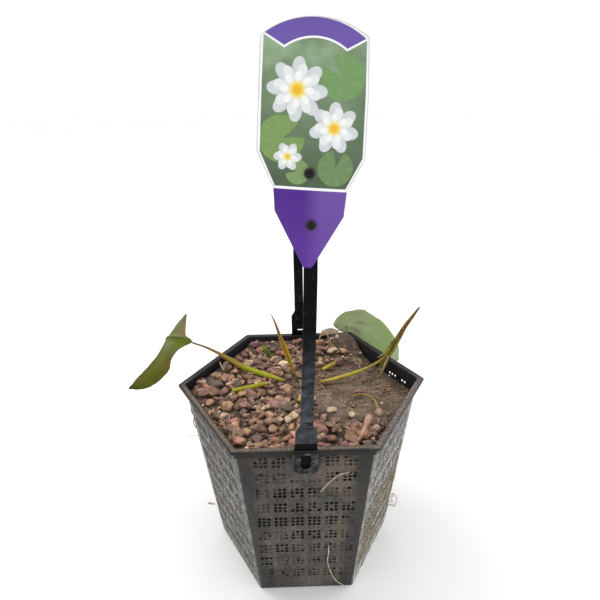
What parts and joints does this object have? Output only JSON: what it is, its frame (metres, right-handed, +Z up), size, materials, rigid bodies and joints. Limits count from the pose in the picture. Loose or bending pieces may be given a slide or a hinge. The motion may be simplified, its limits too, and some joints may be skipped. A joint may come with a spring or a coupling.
{
  "type": "dwarf water lily in a basket",
  "caption": "Young water lily planted in a hexagonal black lattice pond basket of mud topped with gravel, with a strap handle that carries an arched picture card.",
  "frame": {"origin": "centre of the basket's underside, on the surface that it stands on", "axes": "+Z up; the front, the side with the picture card, faces -Y; two corners of the hexagon lie on X"},
  "size_m": [0.2553, 0.1876, 0.4105],
  "materials": {
    "basket_plastic": "dusty satin, with dried silt on the walls",
    "strap_plastic": "satin",
    "card": "laminated, semi-gloss",
    "silt": "damp, matte",
    "gravel": "rough, with silt between the chips",
    "leaf_green": "waxy",
    "leaf_pale": "waxy, pale underside",
    "leaf_ochre": "waxy",
    "stalk": "smooth, slightly shiny",
    "dry_plant": "dry, fibrous"
  },
  "bodies": {
    "root": {"basket": "basket_plastic", "handle_strap": "strap_plastic", "label_card": "card", "label_stud_lower": "strap_plastic", "label_stud_upper": "strap_plastic", "silt": "silt", "gravel_bed": "gravel", "stone_01": "gravel", "stone_02": "gravel", "stone_03": "gravel", "stone_04": "gravel", "stone_05": "gravel", "stone_06": "gravel", "stone_07": "gravel", "stone_08": "gravel", "stone_09": "gravel", "stone_10": "gravel", "stone_11": "gravel", "stone_12": "gravel", "stone_13": "gravel", "stone_14": "gravel", "stone_15": "gravel", "stone_16": "gravel", "stone_17": "gravel", "stone_18": "gravel", "stone_19": "gravel", "stone_20": "gravel", "stone_21": "gravel", "stone_22": "gravel", "stone_23": "gravel", "stone_24": "gravel", "stone_25": "gravel", "stone_26": "gravel", "stone_27": "gravel", "stone_28": "gravel", "stone_29": "gravel", "stone_30": "gravel", "leaf_left": "leaf_green", "leaf_round": "leaf_pale", "leaf_centre": "leaf_ochre", "leaf_right": "leaf_ochre", "shoot": "leaf_green", "stalk_left": "stalk", "stalk_right": "stalk", "stalk_short": "stalk", "stalk_round": "dry_plant", "stub_back": "stalk", "stub_front": "stalk", "dead_leaf_back": "dry_plant", "dead_leaf_front": "dry_plant", "dry_stalk": "dry_plant", "root_front_upper": "dry_plant", "root_front_lower": "dry_plant", "root_right": "dry_plant", "root_left": "dry_plant"}
  },
  "joints": []
}
